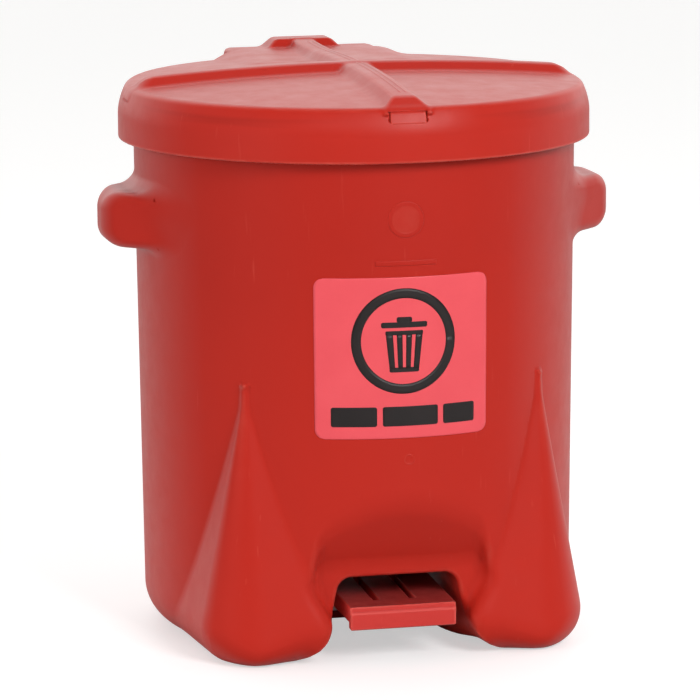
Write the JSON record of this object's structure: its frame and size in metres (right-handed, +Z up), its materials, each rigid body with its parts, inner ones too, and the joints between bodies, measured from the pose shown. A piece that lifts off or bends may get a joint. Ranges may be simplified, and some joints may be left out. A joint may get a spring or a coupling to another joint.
{
  "type": "step-on waste can",
  "caption": "Round foot-operated waste can: moulded body with front feet and carrying lugs, domed ribbed lid on a rear hinge, lifted by a treadle through a lever and a rod.",
  "frame": {"origin": "the body's axis at floor level", "axes": "+Z up, front of the can along -Y, hinge at the back along +Y, +X to the right seen from the front"},
  "size_m": [0.378, 0.3755, 0.412],
  "materials": {
    "red_polyethylene": "satin moulded polyethylene, fine skin texture",
    "tread_plastic": "satin moulded polyethylene",
    "label_vinyl": "printed vinyl film",
    "zinc_steel": "zinc plated",
    "nylon": "natural nylon",
    "black_plastic": "moulded black plastic"
  },
  "bodies": {
    "can": {"body_shell": "red_polyethylene", "front_label": "label_vinyl", "hinge_pin": "zinc_steel", "hinge_pin_caps": "zinc_steel", "pivot_bracket_left": "zinc_steel", "pivot_bracket_right": "zinc_steel", "pivot_bracket_screws": "zinc_steel", "pivot_rod": "zinc_steel", "pivot_rod_caps": "zinc_steel", "pivot_spacers": "nylon", "rod_guide_upper": "black_plastic", "rod_guide_lower": "black_plastic", "rod_guide_screws": "zinc_steel"},
    "lid": {"lid": "red_polyethylene", "lift_bracket": "zinc_steel", "lift_bracket_screws": "zinc_steel"},
    "treadle": {"pedal_tread": "tread_plastic", "pedal_lever": "zinc_steel", "tread_screws": "zinc_steel"},
    "lift_rod": {"lift_rod": "zinc_steel", "lift_rod_cap_upper": "zinc_steel", "lift_rod_cap_lower": "zinc_steel"}
  },
  "joints": [
    {"name": "lid_hinge", "type": "hinge", "parent": "can", "child": "lid", "pos_m": [0, 0.19, 0.362], "axis": [-1, 0, 0], "range_deg": [0, 60]},
    {"name": "treadle_pivot", "type": "hinge", "parent": "can", "child": "treadle", "pos_m": [0, 0.02, 0.036], "axis": [1, 0, 0], "range_deg": [0, 7.6]},
    {"name": "rod_lift", "type": "slide", "parent": "can", "child": "lift_rod", "axis": [0, 0, 1], "range_m": [0, 0.0201]}
  ],
  "couplings": [
    {"joint": "treadle_pivot", "follows": "lid_hinge", "ratio": 0.12629},
    {"joint": "rod_lift", "follows": "lid_hinge", "m_per_rad": 0.019099}
  ]
}
